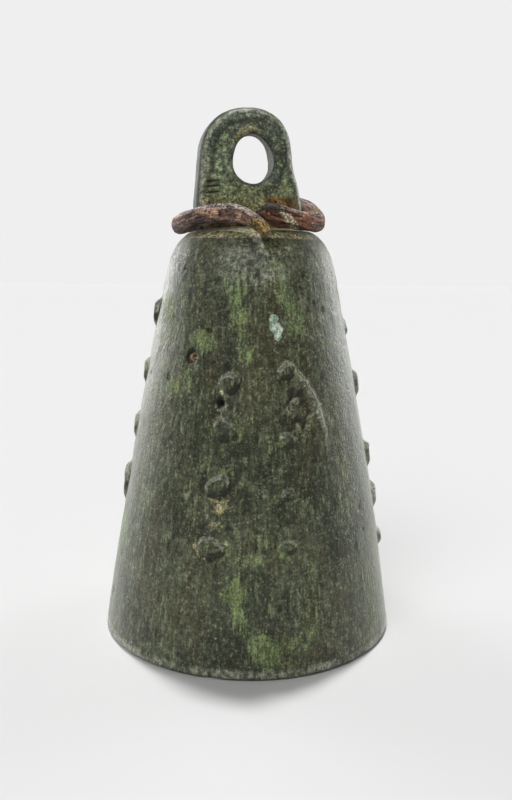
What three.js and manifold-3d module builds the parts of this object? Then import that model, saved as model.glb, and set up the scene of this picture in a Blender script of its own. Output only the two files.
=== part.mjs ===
// A small cast-bronze hand-hung bell: a tall conical shell with rows of raised bosses, an upright
// hanging lug with a pear-shaped eye, a loose iron collar ring round the lug's foot, and an iron
// clapper on a link and staple inside.
// Millimetres, +Z up. The origin is the centre of the mouth, on the plane the bell stands on.
// The lug's broad faces look along Y, and its width runs along X.
import * as THREE from 'three';
import { mergeVertices } from 'three/addons/utils/BufferGeometryUtils.js';
import Module from 'manifold-3d';

// ---- Driving dimensions -------------------------------------------------------------------

const GAP = 0.3; // clearance between pieces that touch

// Shell: outside radius at height z is MOUTH_RADIUS - TAPER * z - TAPER_CURVE * z^2
const MOUTH_RADIUS = 31;
const TAPER = 0.1441;
const TAPER_CURVE = 0.000458;
const SHOULDER_Z = 72.9; // where the cone turns into the rounded shoulder
const SHOULDER_BEND = { radius: 16.4, z: 83.6 }; // where the shoulder's two end tangents cross
const CROWN_EDGE = { radius: 11, z: 84 }; // where the shoulder meets the shallow dome
const CROWN_TOP_Z = 84.9;
const WALL = 3;
const LIP_EXTRA = 1.2; // the lip is this much thicker than the wall
const LIP_HEIGHT = 14;
const ROOF_Z = 79.6; // underside of the crown, on the axis
const TURNS = 64; // sides of every turned shell surface

// Bosses: shallow domes cast on the shell, in upright columns. A column's angle is from -Y, positive
// towards +X, in degrees, at BOSS.levelZ, and lean is how far it turns with each mm below that.
const BOSS = { radius: 2.6, height: 1.25, levelZ: 56 };
const BOSS_COLUMNS = [
  { angle: -21.5, lean: -0.17, heights: [55.1, 46.5, 35.7, 24.5] },
  { angle: 7.2, lean: -0.08, heights: [57.3, 44.5, 34.2, 24.7] },
  { angle: 77, lean: 0, heights: [64.5, 52.7, 37.2, 28.1, 18.9] },
  { angle: 104, lean: 0, heights: [58.5, 46.5, 35, 24] },
  { angle: 166, lean: 0, heights: [56, 45, 34.5, 24] },
  { angle: 194, lean: 0, heights: [57, 46, 35, 25] },
  { angle: 236, lean: 0, heights: [62, 50, 38.5, 27] },
  { angle: 263, lean: 0, heights: [67.1, 55.2, 43.4, 31] },
];

// Core pins: iron pins that held the casting core, left in the wall. Angles as for the bosses.
const PIN_RADIUS = 1.1;
const PIN_Z = 59.6;
const PINS = { core_pin_front: -44.5, core_pin_right: 90, core_pin_back: 180 };

// Hanging lug. Its top is an arch, squarer than an ellipse and shifted a little to the left.
const LUG = {
  offset: -0.8, // of the foot's middle from the bell's axis, along X
  thickness: 7.5,
  top: 108.3,
  arch: { halfWidth: 9.5, z: 97.5, shift: -0.9, skew: 0.8, power: 0.85 },
  footHalfWidth: 11,
  waist: 8, // how far below the arch the sides' end tangents cross
  edge: 1.1, // rounding of the outline and of the eye's rim
};
const EYE = { offset: 0.45, z: 97.4, halfWidth: 4.15, drop: 4, rise: 5.8 };
const TANG = { halfWidth: 6, thickness: 5, bottom: 77.4, flare: 1.1 };

// Staple: a round iron wire, up through the crown in front of and behind the lug
const STAPLE = { wire: 1.4, legY: 7.4, barZ: 72, frontClench: 2.8, backClench: 5 };

// Link and clapper
const LINK = { wire: 1.2, halfLength: 5.5, halfWidth: 4 };
const CLAPPER_EYE = { wire: 1.5, radius: 3.2 };
const STEM_RADIUS = 1.75;
const BOB = { radius: 7.5, z: 12.5, halfHeight: 8.6 };

// Collar ring: an open iron ring with tapered, overlapping ends. Each point of its centreline is
// [angle from -Y towards +X, distance from the axis, height].
const RING_WIRE = 2;
const RING_ROUTE = [
  [-3, 16.6, 83.7],
  [-10, 15.5, 85.3],
  [-24, 14.2, 86.6],
  [-46, 14, 86.6],
  [-69, 14.4, 85.8],
  [-92, 14.7, 85.1],
  [-116, 14.3, 85.5],
  [-142, 13.7, 87.2],
  [-170, 13.4, 88.9],
  [-198, 13.3, 90],
  [-226, 13, 90.3],
  [-250, 13, 89.4],
  [-274, 13.3, 87.2],
  [-298, 13.5, 85.8],
  [-320, 13.6, 85.7],
  [-340, 13.2, 86.2],
  [-354, 12.7, 86.9],
];

// ---- Materials ----------------------------------------------------------------------------

const bronze = new THREE.MeshStandardMaterial({ color: 0x4a5140, roughness: 0.55, metalness: 0.35 });
const lugBronze = new THREE.MeshStandardMaterial({ color: 0x4f5c48, roughness: 0.5, metalness: 0.35 });
const ringIron = new THREE.MeshStandardMaterial({ color: 0x5d3d30, roughness: 0.85, metalness: 0.2 });
const innerIron = new THREE.MeshStandardMaterial({ color: 0x46342a, roughness: 0.85, metalness: 0.3 });

// ---- Solid modelling helpers ----------------------------------------------------------------

const wasm = await Module();
wasm.setup();

/** A closed three.js geometry as a manifold solid. */
function solid(geometry) {
  const bare = geometry.index ? geometry.toNonIndexed() : geometry.clone();
  bare.deleteAttribute('normal');
  bare.deleteAttribute('uv');
  const merged = mergeVertices(bare, 1e-4);
  return new wasm.Manifold(
    new wasm.Mesh({
      numProp: 3,
      vertProperties: new Float32Array(merged.attributes.position.array),
      triVerts: new Uint32Array(merged.index.array),
    }),
  );
}

/** A manifold solid as a three.js geometry. */
function geometryOf(body) {
  const { vertProperties, triVerts } = body.getMesh();
  const geometry = new THREE.BufferGeometry();
  geometry.setAttribute('position', new THREE.BufferAttribute(vertProperties, 3));
  geometry.setIndex(new THREE.BufferAttribute(triVerts, 1));
  geometry.computeVertexNormals();
  return geometry;
}

function named(name, geometry, material) {
  const mesh = new THREE.Mesh(geometry, material);
  mesh.name = name;
  return mesh;
}

/** A solid of revolution about Z from [radius, z] points, counter-clockwise round the section. */
function turned(points, sides = TURNS) {
  const profile = points.map(([radius, z]) => new THREE.Vector2(radius, z));
  return new THREE.LatheGeometry(profile, sides).rotateX(Math.PI / 2);
}

/** A round bar along a curve; radiusAt gives its radius at each share of the curve's length. */
function bar(curve, steps, sides, radiusAt) {
  const section = new THREE.Shape();
  for (let i = 0; i < sides; i += 1) {
    const turn = (i / sides) * 2 * Math.PI;
    section[i ? 'lineTo' : 'moveTo'](Math.cos(turn), Math.sin(turn));
  }
  section.closePath();
  const geometry = new THREE.ExtrudeGeometry(section, { steps, extrudePath: curve, curveSegments: 1 });
  const centres = curve.getSpacedPoints(steps);
  const { position } = geometry.attributes;
  const vertex = new THREE.Vector3();
  for (let i = 0; i < position.count; i += 1) {
    vertex.fromBufferAttribute(position, i);
    const distances = centres.map((centre) => centre.distanceToSquared(vertex));
    const nearest = distances.indexOf(Math.min(...distances));
    const centre = centres[nearest];
    vertex.sub(centre).multiplyScalar(radiusAt(nearest / steps)).add(centre);
    position.setXYZ(i, vertex.x, vertex.y, vertex.z);
  }
  return geometry;
}

/** The point at an angle from -Y towards +X, in degrees, at a distance from the axis. */
function around(angle, radius, z) {
  const turn = THREE.MathUtils.degToRad(angle);
  return new THREE.Vector3(radius * Math.sin(turn), -radius * Math.cos(turn), z);
}

// ---- Shell ----------------------------------------------------------------------------------

const outerRadius = (z) => MOUTH_RADIUS - TAPER * z - TAPER_CURVE * z * z;
const outerSlope = (z) => TAPER + 2 * TAPER_CURVE * z;
const wallAt = (z) => WALL + LIP_EXTRA * Math.max(0, 1 - z / LIP_HEIGHT) ** 2;

/** Heights from low to high, in equal steps. */
const steps = (low, high, count) => Array.from({ length: count + 1 }, (_, i) => low + ((high - low) * i) / count);

/** Points of a smooth corner from one [radius, z] point to another, bending round a third. */
function corner(from, bend, to, count) {
  const [a, b, c] = [from, bend, to].map(([radius, z]) => new THREE.Vector2(radius, z));
  return new THREE.QuadraticBezierCurve(a, b, c).getPoints(count).map((p) => [p.x, p.y]).slice(1);
}

/** The outside of the shell, from the lip up to the axis, raised by lift. */
function outsideProfile(lift = 0) {
  const side = steps(0, SHOULDER_Z, 4).map((z) => [outerRadius(z), z + lift]);
  const edge = [CROWN_EDGE.radius, CROWN_EDGE.z + lift];
  const bend = [SHOULDER_BEND.radius, SHOULDER_BEND.z + lift];
  const shoulder = corner(side.at(-1), bend, edge, 5);
  const dome = corner(edge, [CROWN_EDGE.radius / 2, CROWN_TOP_Z + lift], [0, CROWN_TOP_Z + lift], 2);
  return [...side, ...shoulder, ...dome];
}

/** The inside of the shell, from the axis down to the lip. */
function insideProfile() {
  const inner = (z) => outerRadius(z) - wallAt(z);
  const springing = [inner(69), 69];
  const roof = corner(springing, [inner(78), 78], [7.5, 79.2], 4);
  const side = [...steps(0, LIP_HEIGHT, 3), 32, 50].map((z) => [inner(z), z]);
  return [...side, springing, ...roof, [0, ROOF_Z]].reverse();
}

function bossSolid(angle, z) {
  const lean = Math.atan(outerSlope(z));
  const dome = new THREE.SphereGeometry(BOSS.radius, 10, 6)
    .scale(1, BOSS.height / BOSS.radius, 1)
    .rotateX(-lean)
    .translate(0, -outerRadius(z), z)
    .rotateZ(THREE.MathUtils.degToRad(angle));
  return solid(dome);
}

/** A straight round bar through the wall at a core pin's place, square to the wall. */
function pinGeometry(angle, radius, length) {
  const lean = Math.atan(outerSlope(PIN_Z));
  return new THREE.CylinderGeometry(radius, radius, length, 12)
    .rotateX(-lean)
    .translate(0, -(outerRadius(PIN_Z) - WALL / 2), PIN_Z)
    .rotateZ(THREE.MathUtils.degToRad(angle));
}

function makeShell() {
  const filled = solid(turned([[0, 0], ...outsideProfile()]));
  const cavity = solid(turned([[0, -1], [MOUTH_RADIUS - WALL - LIP_EXTRA, -1], ...insideProfile().reverse()]));
  const bosses = BOSS_COLUMNS.flatMap(({ angle, lean, heights }) =>
    heights.map((z) => bossSolid(angle + lean * (BOSS.levelZ - z), z)));
  const decorated = bosses.reduce((body, boss) => body.add(boss), filled);
  const slot = new THREE.BoxGeometry(2 * (TANG.halfWidth + GAP), TANG.thickness + 2 * GAP, 20)
    .translate(LUG.offset, 0, CROWN_TOP_Z);
  const legHoles = [-STAPLE.legY, STAPLE.legY].map((y) =>
    solid(new THREE.CylinderGeometry(STAPLE.wire + GAP, STAPLE.wire + GAP, 20, 12)
      .rotateX(Math.PI / 2)
      .translate(0, y, CROWN_TOP_Z)));
  const pinHoles = Object.values(PINS).map((angle) => solid(pinGeometry(angle, PIN_RADIUS + GAP, 3 * WALL)));
  const cuts = [cavity, solid(slot), ...legHoles, ...pinHoles];
  const shell = cuts.reduce((body, cut) => body.subtract(cut), decorated);
  return named('bell_shell', geometryOf(shell), bronze);
}

function makeCorePins() {
  return Object.entries(PINS).map(([name, angle]) => named(name, pinGeometry(angle, PIN_RADIUS, WALL), innerIron));
}

// ---- Hanging lug ------------------------------------------------------------------------------

/** The lug's front outline with its eye, drawn in X and Z; the bevel adds LUG.edge all round. */
function lugShape() {
  const shape = new THREE.Shape();
  const { halfWidth, z, shift, skew, power } = LUG.arch;
  const foot = LUG.footHalfWidth - LUG.edge;
  const footZ = CROWN_EDGE.z - 3;
  const squared = (wave) => Math.sign(wave) * Math.abs(wave) ** power;
  const arch = steps(0, Math.PI, 24).map((turn) => new THREE.Vector2(
    shift + (halfWidth - LUG.edge) * squared(Math.cos(turn)) + skew * Math.sin(turn) ** 2,
    z + (LUG.top - z - LUG.edge) * squared(Math.sin(turn))));
  shape.moveTo(foot, footZ);
  shape.quadraticCurveTo(foot, z - LUG.waist, arch[0].x, arch[0].y);
  arch.slice(1).forEach((point) => shape.lineTo(point.x, point.y));
  shape.quadraticCurveTo(-foot, z - LUG.waist, -foot, footZ);
  shape.closePath();
  const eye = new THREE.Path();
  const eyeHalf = EYE.halfWidth + LUG.edge;
  eye.absellipse(EYE.offset, EYE.z, eyeHalf, EYE.drop + LUG.edge, Math.PI, 2 * Math.PI, false);
  eye.absellipse(EYE.offset, EYE.z, eyeHalf, EYE.rise + LUG.edge, 0, Math.PI, false);
  shape.holes.push(eye);
  return shape;
}

function makeLug() {
  const plate = new THREE.ExtrudeGeometry(lugShape(), {
    depth: LUG.thickness - 2 * LUG.edge,
    bevelSize: LUG.edge,
    bevelThickness: LUG.edge,
    bevelSegments: 2,
    curveSegments: 14,
  })
    .translate(0, 0, LUG.edge - LUG.thickness / 2)
    .rotateX(Math.PI / 2)
    .translate(LUG.offset, 0, 0);
  const crown = solid(turned([[0, 0], ...outsideProfile(1.5 * GAP)]));
  const above = solid(plate).subtract(crown);
  const tangTop = CROWN_TOP_Z + 1.5;
  const tang = new THREE.BoxGeometry(2 * TANG.halfWidth, TANG.thickness, tangTop - TANG.bottom)
    .translate(LUG.offset, 0, (tangTop + TANG.bottom) / 2);
  const headTop = ROOF_Z - 3 * GAP;
  const head = new THREE.BoxGeometry(2 * (TANG.halfWidth + TANG.flare), TANG.thickness + 2 * TANG.flare,
    headTop - TANG.bottom).translate(LUG.offset, 0, (headTop + TANG.bottom) / 2);
  const lug = above.add(solid(tang)).add(solid(head));
  return named('suspension_lug', geometryOf(lug), lugBronze);
}

// ---- Staple, link and clapper ------------------------------------------------------------------

function makeStaple() {
  const { legY, barZ, wire } = STAPLE;
  // From the clenched end on the crown, down one leg, to where the bottom bar starts.
  const half = (clench) => [
    [legY + clench, CROWN_EDGE.z + wire - 0.35],
    [legY + clench * 0.6, CROWN_EDGE.z + wire + 0.55],
    [legY + 0.5, CROWN_TOP_Z + wire + 0.2],
    [legY, CROWN_TOP_Z],
    [legY, ROOF_Z - 2.4],
    [legY - 1.6, barZ + 1.4],
    [legY - 4.4, barZ],
  ];
  const front = half(STAPLE.frontClench).map(([y, z]) => new THREE.Vector3(0, -y, z));
  const back = half(STAPLE.backClench).map(([y, z]) => new THREE.Vector3(0, y, z)).reverse();
  const path = new THREE.CatmullRomCurve3([...front, ...back], false, 'centripetal');
  const taper = (share) => wire * Math.min(1, 0.6 + 10 * Math.min(share, 1 - share));
  return named('clapper_staple', bar(path, 44, 8, taper), innerIron);
}

const linkTopZ = STAPLE.barZ + STAPLE.wire + LINK.wire + GAP;
const linkBottomZ = linkTopZ - 2 * LINK.halfLength;
const clapperEyeZ = linkBottomZ + LINK.wire + GAP + CLAPPER_EYE.wire - CLAPPER_EYE.radius;

function makeLink() {
  const path = new THREE.CatmullRomCurve3(
    steps(0, 2 * Math.PI, 16).slice(0, -1).map((turn) => new THREE.Vector3(
      LINK.halfWidth * Math.cos(turn), 0, linkTopZ - LINK.halfLength + LINK.halfLength * Math.sin(turn))),
    true,
  );
  const ends = 0.012; // the link is a bent wire whose ends all but meet, at one side
  const open = new THREE.CatmullRomCurve3(
    steps(ends, 1 - ends, 28).map((share) => path.getPointAt(share)), false);
  return named('clapper_link', bar(open, 28, 8, () => LINK.wire), innerIron);
}

function makeClapperStem() {
  const neckTop = BOB.z + BOB.halfHeight;
  const neckBottom = BOB.z - BOB.halfHeight;
  const eyeBottom = clapperEyeZ - CLAPPER_EYE.radius;
  const rod = turned([
    [0, neckBottom - 2],
    [2.4, neckBottom - 1.7],
    [3, neckBottom - GAP],
    [STEM_RADIUS, neckBottom - GAP],
    [STEM_RADIUS, neckTop + GAP],
    [2.7, neckTop + GAP],
    [2.7, neckTop + 1.6],
    [STEM_RADIUS, neckTop + 2.4],
    [STEM_RADIUS, eyeBottom],
    [0, eyeBottom],
  ], 16);
  const eye = new THREE.TorusGeometry(CLAPPER_EYE.radius, CLAPPER_EYE.wire, 10, 24)
    .rotateY(Math.PI / 2)
    .translate(0, 0, clapperEyeZ);
  return named('clapper_stem', geometryOf(solid(rod).add(solid(eye))), innerIron);
}

function makeClapperBob() {
  const hole = STEM_RADIUS + GAP;
  const bottom = BOB.z - BOB.halfHeight;
  const top = BOB.z + BOB.halfHeight;
  const belly = new THREE.CatmullRomCurve3([
    [3.4, bottom], [6.4, bottom + 3], [BOB.radius, BOB.z - 1.5], [5.8, BOB.z + 4.2], [3.1, top],
  ].map(([radius, z]) => new THREE.Vector3(radius, z, 0))).getPoints(10);
  const outline = belly.map((p) => [p.x, p.y]);
  return named('clapper_bob', turned([[hole, bottom], ...outline, [hole, top], [hole, bottom]], 24), innerIron);
}

// ---- Collar ring --------------------------------------------------------------------------------

function makeCollarRing() {
  const route = RING_ROUTE.map(([angle, radius, z]) => around(angle, radius, z));
  const path = new THREE.CatmullRomCurve3(route, false, 'centripetal');
  // Drawn down towards its first end and blunt at the other.
  const radiusAt = (share) => RING_WIRE * Math.min(1, 0.62 + 4.5 * share);
  return named('collar_ring', bar(path, 60, 10, radiusAt), ringIron);
}

// ---- Assembly -----------------------------------------------------------------------------------

const bell = new THREE.Group();
bell.add(makeShell(), makeLug(), makeStaple(), ...makeCorePins());

const clapper = new THREE.Group();
clapper.add(makeClapperStem(), makeClapperBob());

const assembly = new THREE.Group();
assembly.add(bell, makeCollarRing(), makeLink(), clapper);

export default assembly;
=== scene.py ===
"""A small cast-bronze bell with a hanging lug, a loose iron collar ring and an iron clapper.

Lengths are in millimetres until they reach Blender, which works in metres. Angles round the bell are
in degrees from -Y, positive towards +X.
"""
import itertools
import math

import bpy
import numpy as np
from mathutils import Matrix, Vector


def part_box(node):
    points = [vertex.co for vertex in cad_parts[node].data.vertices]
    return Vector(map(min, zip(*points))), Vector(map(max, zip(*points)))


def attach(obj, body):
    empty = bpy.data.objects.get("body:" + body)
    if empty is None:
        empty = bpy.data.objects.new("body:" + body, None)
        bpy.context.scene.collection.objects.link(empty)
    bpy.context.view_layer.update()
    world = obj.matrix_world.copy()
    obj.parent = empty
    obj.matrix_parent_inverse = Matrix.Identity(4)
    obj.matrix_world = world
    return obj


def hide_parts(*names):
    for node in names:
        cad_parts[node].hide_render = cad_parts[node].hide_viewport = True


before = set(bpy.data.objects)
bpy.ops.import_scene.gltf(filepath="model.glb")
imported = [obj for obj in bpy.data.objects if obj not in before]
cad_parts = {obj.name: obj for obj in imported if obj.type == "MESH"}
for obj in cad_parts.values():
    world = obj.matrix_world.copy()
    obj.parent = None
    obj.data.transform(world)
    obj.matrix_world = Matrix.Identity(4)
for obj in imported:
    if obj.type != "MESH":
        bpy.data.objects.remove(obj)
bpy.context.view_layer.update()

MM = 0.001


def box_mm(node):
    """Lowest and highest corner of a CAD node, in millimetres."""
    return tuple(np.array(corner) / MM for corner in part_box(node))


shell_low, shell_high = box_mm("bell_shell")
lug_low, lug_high = box_mm("suspension_lug")

# ---- The bell's shape, as in the CAD model ----

MOUTH_RADIUS = shell_high[0]
TAPER = 0.1441
TAPER_CURVE = 0.000458
SHOULDER_Z = 72.9
SHOULDER_BEND = (16.4, 83.6)
CROWN_EDGE = (11.0, 84.0)
CROWN_TOP_Z = 84.9
WALL = 3.0
LIP_EXTRA = 1.2
LIP_HEIGHT = 14.0
ROOF = [(7.5, 79.2), (0.0, 79.6)]  # radius, height
INNER_SPRINGING_Z = 69.0

BOSS_LEVEL_Z = 56.0
# angle, lean in degrees for each mm below BOSS_LEVEL_Z, and (height, width scale, tall scale, rise)
BOSS_COLUMNS = [
    (-21.5, -0.17, [(55.1, 0.72, 0.74, 0.8), (46.5, 0.86, 0.85, 0.8), (36, 1.0, 0.9, 0.9),
                    (24.5, 1.1, 0.72, 0.7)]),
    (7.2, -0.08, [(57.3, 0.65, 0.58, 0.85), (44.5, 0.64, 0.52, 0.8), (34.2, 0.6, 0.52, 0.5),
                  (24.7, 0.62, 0.5, 0.5)]),
    (77, 0, [(64.5, 0.8, 0.7, 0.5), (52.7, 1.0, 1.1, 0.8), (37.2, 1.0, 1.15, 0.8), (28.1, 0.9, 1.0, 0.8),
             (18.9, 0.9, 0.9, 0.7)]),
    (104, 0, [(58.5, 0.9, 0.8, 0.8), (46.5, 1.0, 0.9, 0.9), (35, 1.1, 0.9, 0.8), (24, 0.9, 0.9, 0.7)]),
    (166, 0, [(56, 1.0, 0.9, 0.9), (45, 0.8, 0.9, 0.8), (34.5, 1.0, 1.0, 0.9), (24, 1.1, 0.9, 0.7)]),
    (194, 0, [(57, 0.9, 0.9, 0.8), (46, 1.0, 0.8, 0.9), (35, 0.8, 0.8, 0.7), (25, 1.0, 0.9, 0.9)]),
    (236, 0, [(62, 0.9, 0.9, 0.8), (50, 1.1, 1.0, 0.9), (38.5, 0.9, 0.9, 0.8), (27, 1.0, 1.1, 0.8)]),
    (263, 0, [(67.1, 0.9, 1.2, 0.85), (55.2, 0.9, 1.1, 0.7), (43.4, 0.9, 1.1, 0.6), (31, 1.0, 1.8, 0.8)]),
]
BOSS_RADIUS = 2.6
BOSS_HEIGHT = 1.2

# The curved ridge that leaves the top boss of the second column, as (angle, height)
RIDGE = [(8, 58.6), (12, 57.2), (16.5, 55.2), (20.5, 52.6), (23.6, 49.4), (25.3, 45.8), (25.6, 42)]
RIDGE_WIDTH = 0.75
RIDGE_HEIGHT = 0.62
SCAR = (12.5, 49.4)  # the rough hollow inside the ridge
SCAR_SIZE = (3.4, 5.0)
SCAR_DEPTH = 0.5
PIN_HOLE = (-25.8, 51.3)
PIN_HOLE_DEPTH = 2.0
LIP_NICK = (-24.6, 0.4)
LIP_NICK_DEPTH = 0.7
PIT_COUNT = 90
PIT_DEPTH = 0.3
CORE_PIN_Z = 59.6
CORE_PIN_HOLLOW = 1.1  # depth of the hollow round a pin's end
WALL_SLANT = 1.01  # length along the wall for each mm of height
CORE_PINS = {"core_pin_front": -44.5, "core_pin_right": 90.0, "core_pin_back": 180.0}

LUG_OFFSET = -0.8
LUG_TOP = lug_high[2]
LUG_THICK = lug_high[1] - lug_low[1]
ARCH_HALF_WIDTH = 9.5
ARCH_Z = 97.5
ARCH_SHIFT = -0.9
ARCH_SKEW = 0.8
ARCH_POWER = 0.85  # below 1, squarer than an ellipse
LUG_FOOT_HALF = 11.0
LUG_WAIST = 8.0
LUG_FOOT_Z = 82.2
TANG_HALF = (7.0, 3.5)
TANG_POWER = 0.45
CUT_LEVELS = (91.4, 92.6, 93.6)  # three file cuts on the front, at the left edge
EYE_CENTRE = (-0.35, 97.4)
EYE_HALF_WIDTH = 4.15
EYE_DROP = 4.0
EYE_RISE = 5.8

EYE_ROUND = 1.3  # the rounding of the lug's edges, at the eye and outside
EDGE_ROUND = 1.9

RING_WIRE = 1.93
RING_ROUTE = [  # angle, radius, height
    (-3, 16.6, 83.7), (-10, 15.5, 85.3), (-24, 14.2, 86.6), (-46, 14, 86.6), (-69, 14.4, 85.8),
    (-92, 14.7, 85.1), (-116, 14.3, 85.5), (-142, 13.7, 87.2), (-170, 13.4, 88.9), (-198, 13.3, 90),
    (-226, 13, 90.3), (-250, 13, 89.4), (-274, 13.3, 87.2), (-298, 13.5, 85.8), (-320, 13.6, 85.7),
    (-340, 13.2, 86.2), (-354, 12.7, 86.9),
]

STAPLE_WIRE = 1.4
STAPLE_LEG_Y = 7.4
STAPLE_BAR_Z = 72.0
STAPLE_FRONT_CLENCH = 2.8
STAPLE_BACK_CLENCH = 5.0
LINK_WIRE = 1.2
LINK_HALF_WIDTH = 4.0
LINK_HALF_LENGTH = 5.5
PIECE_GAP = 0.3
CLAPPER_EYE_WIRE = 1.5
CLAPPER_EYE_RADIUS = 3.2
STEM_RADIUS = 1.75

# The fineness of the meshes
CAP_STEPS = 6
SHELL_COLUMNS = 384
OUTSIDE_STEP = 0.49
INSIDE_STEP = 2.3
FLAT_LIP_STEP = 0.7

# ---- Repeatable noise ----

WORD = np.uint64(0xFFFFFFFF)
AXIS_FACTORS = [np.uint64(factor) for factor in (374761393, 668265263, 1442695041)]
SEED_FACTOR, SEED_START = 362437, 97
STIR_FACTOR = np.uint64(1274126177)
TOP_OF_RANGE = 0xFFFFF


def lattice(cell, seed):
    """A repeatable number from -1 to 1 for each whole-number point."""
    axes = (cell[:, i].astype(np.int64).astype(np.uint64) & WORD for i in range(3))
    n = sum(axis * factor for axis, factor in zip(axes, AXIS_FACTORS))
    n = (n + np.uint64(seed * SEED_FACTOR + SEED_START)) & WORD
    n = ((n ^ (n >> np.uint64(13))) * STIR_FACTOR) & WORD
    n = n ^ (n >> np.uint64(16))
    return (n & np.uint64(TOP_OF_RANGE)).astype(float) / (TOP_OF_RANGE // 2) - 1


def smooth_noise(points, seed):
    cell = np.floor(points)
    share = points - cell
    share = share * share * (3 - 2 * share)
    total = np.zeros(len(points))
    for corner in itertools.product((0, 1), repeat=3):
        weight = np.prod(np.where(corner, share, 1 - share), axis=1)
        total += weight * lattice(cell + corner, seed)
    return total


def fractal(points, size, octaves, seed, stretch=(1, 1, 1)):
    """Noise from about -1 to 1 whose largest features are size mm across."""
    scaled = points / (np.array(stretch) * size)
    total = np.zeros(len(points))
    for octave in range(octaves):
        total += smooth_noise(scaled * 2 ** octave + 11.7 * octave, seed + octave) / 2 ** octave
    return total / (2 - 2 ** (1 - octaves))


def ramp(low, high, value):
    """value's place between low and high, smoothed, from 0 to 1."""
    share = np.clip((value - low) / (high - low), 0, 1)
    return share * share * (3 - 2 * share)


def averaged(grid, reach, axis=0):
    """Each value averaged with its neighbours within reach along one axis."""
    return sum(np.roll(grid, shift, axis) for shift in range(-reach, reach + 1)) / (2 * reach + 1)


def hump(value, middle, width):
    """1 where value is at the middle, falling away smoothly on both sides."""
    return np.exp(-((value - middle) / width) ** 2)


def squared_off(wave, power):
    """A sine or cosine raised to a power with its sign kept: below 1 it squares a circle off."""
    return np.sign(wave) * np.abs(wave) ** power


# ---- Mesh building ----


def grid_faces(rows, columns, close_rows=False):
    """Quads of a grid of points whose columns close on themselves."""
    row = np.arange(rows if close_rows else rows - 1)[:, None]
    column = np.arange(columns)[None, :]
    after = (row + 1) % rows
    beside = (column + 1) % columns
    corners = [row * columns + column, row * columns + beside, after * columns + beside,
               after * columns + column]
    return np.stack([c.reshape(-1) for c in corners], axis=1)


def placed(name, data):
    """A new object in the scene."""
    new = bpy.data.objects.new(name, data)
    bpy.context.scene.collection.objects.link(new)
    return new


def make_piece(name, points, faces, material, body, stands_for=(), masks=None):
    """A smooth mesh object from points in mm, riding on a body of the frame."""
    mesh = bpy.data.meshes.new(name)
    mesh.from_pydata((points * MM).tolist(), [], [list(face) for face in faces])
    for mask, values in (masks or {}).items():
        mesh.attributes.new(mask, "FLOAT", "POINT").data.foreach_set("value", values.astype(np.float32))
    mesh.shade_smooth()
    mesh.materials.append(material)
    mesh.validate()
    piece = placed(name, mesh)
    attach(piece, body)
    if stands_for:
        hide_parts(*stands_for)


def unit(vectors):
    return vectors / np.maximum(np.linalg.norm(vectors, axis=-1, keepdims=True), 1e-9)


def grid_normals(points, rows, columns, close_rows=False):
    """Unit normals of a grid surface whose columns close on themselves."""
    grid = points.reshape(rows, columns, 3)
    along = np.gradient(grid, axis=0)
    if close_rows:
        along = np.roll(grid, -1, axis=0) - np.roll(grid, 1, axis=0)
    across = np.roll(grid, -1, axis=1) - np.roll(grid, 1, axis=1)
    return unit(np.cross(across, along).reshape(-1, 3))


def with_poles(points, faces, rows, columns, first, last):
    """Closes both ends of a grid with a fan round one point each."""
    start, end = len(points), len(points) + 1
    points = np.vstack([points, first, last])
    beside = [(i, (i + 1) % columns) for i in range(columns)]
    base = (rows - 1) * columns
    fans = [(start, b, a) for a, b in beside] + [(end, base + a, base + b) for a, b in beside]
    return points, [tuple(face) for face in faces] + fans


def full_turn(count):
    return np.linspace(0, 2 * math.pi, count, endpoint=False)


def lengths(points):
    """The length passed at each point of a line of points."""
    return np.concatenate([[0], np.cumsum(np.linalg.norm(np.diff(points, axis=0), axis=1))])


def respaced(points, count):
    """count evenly spaced points along a line of points."""
    length = lengths(points)
    at = np.linspace(0, length[-1], count)
    return np.stack([np.interp(at, length, axis) for axis in points.T], axis=1)


def resampled(outline, step):
    """The outline's points respaced evenly, about step apart."""
    outline = np.array(outline, float)
    return respaced(outline, max(2, int(lengths(outline)[-1] / step)))


def between(t, low, high, a, b):
    """The point at t on a line that passes a at low and b at high."""
    return (high - t) / (high - low) * a + (t - low) / (high - low) * b


def smooth_path(points, count):
    """Evenly spaced points on a centripetal Catmull-Rom curve through points."""
    points = np.array(points, float)
    padded = np.vstack([2 * points[0] - points[1], points, 2 * points[-1] - points[-2]])
    fine = []
    for a, b, c, d in zip(padded, padded[1:], padded[2:], padded[3:]):
        t1 = np.linalg.norm(b - a) ** 0.5
        t2 = t1 + np.linalg.norm(c - b) ** 0.5
        t3 = t2 + np.linalg.norm(d - c) ** 0.5
        t = np.linspace(t1, t2, 24, endpoint=False)[:, None]
        ab, bc, cd = between(t, 0.0, t1, a, b), between(t, t1, t2, b, c), between(t, t2, t3, c, d)
        fine.append(between(t, t1, t2, between(t, 0.0, t2, ab, bc), between(t, t1, t3, bc, cd)))
    return respaced(np.vstack(fine + [points[-1:]]), count)


def upright_frames(tangent):
    """Two directions across each tangent, carried along without twisting."""
    guide = np.array([0.0, 0.0, 1.0]) if abs(tangent[0][2]) < 0.8 else np.array([1.0, 0.0, 0.0])
    frames = []
    for direction in tangent:
        guide = unit(guide - direction * guide.dot(direction))
        frames.append((guide, np.cross(direction, guide)))
    return (np.array(axis) for axis in zip(*frames))


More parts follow.
